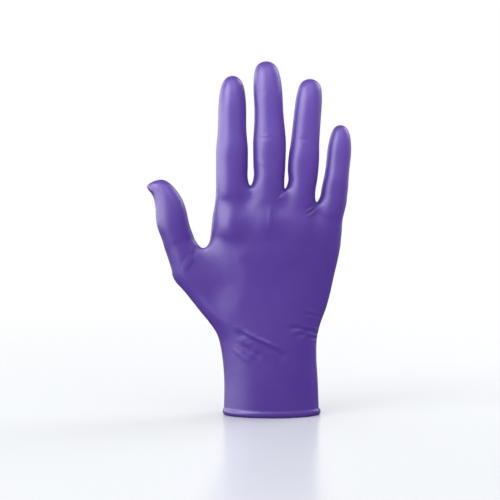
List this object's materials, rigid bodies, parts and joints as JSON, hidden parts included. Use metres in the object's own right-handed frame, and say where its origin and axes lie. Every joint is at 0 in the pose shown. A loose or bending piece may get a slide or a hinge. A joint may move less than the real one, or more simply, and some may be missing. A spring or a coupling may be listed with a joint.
{
  "type": "nitrile exam glove",
  "caption": "Purple nitrile exam glove in worn form, fingers up, one thin hollow skin with a rolled bead at its open cuff.",
  "frame": {"origin": "middle of the cuff's mouth, level with the lowest point of its rolled bead", "axes": "+Z from the mouth to the fingertips, -Y out of the back of the hand, +Y out of the palm, -X to the thumb's side"},
  "size_m": [0.139, 0.0436, 0.2397],
  "materials": {
    "nitrile": "satin purple nitrile film, dipped and chlorinated"
  },
  "bodies": {
    "root": {"glove": "nitrile"}
  },
  "joints": []
}
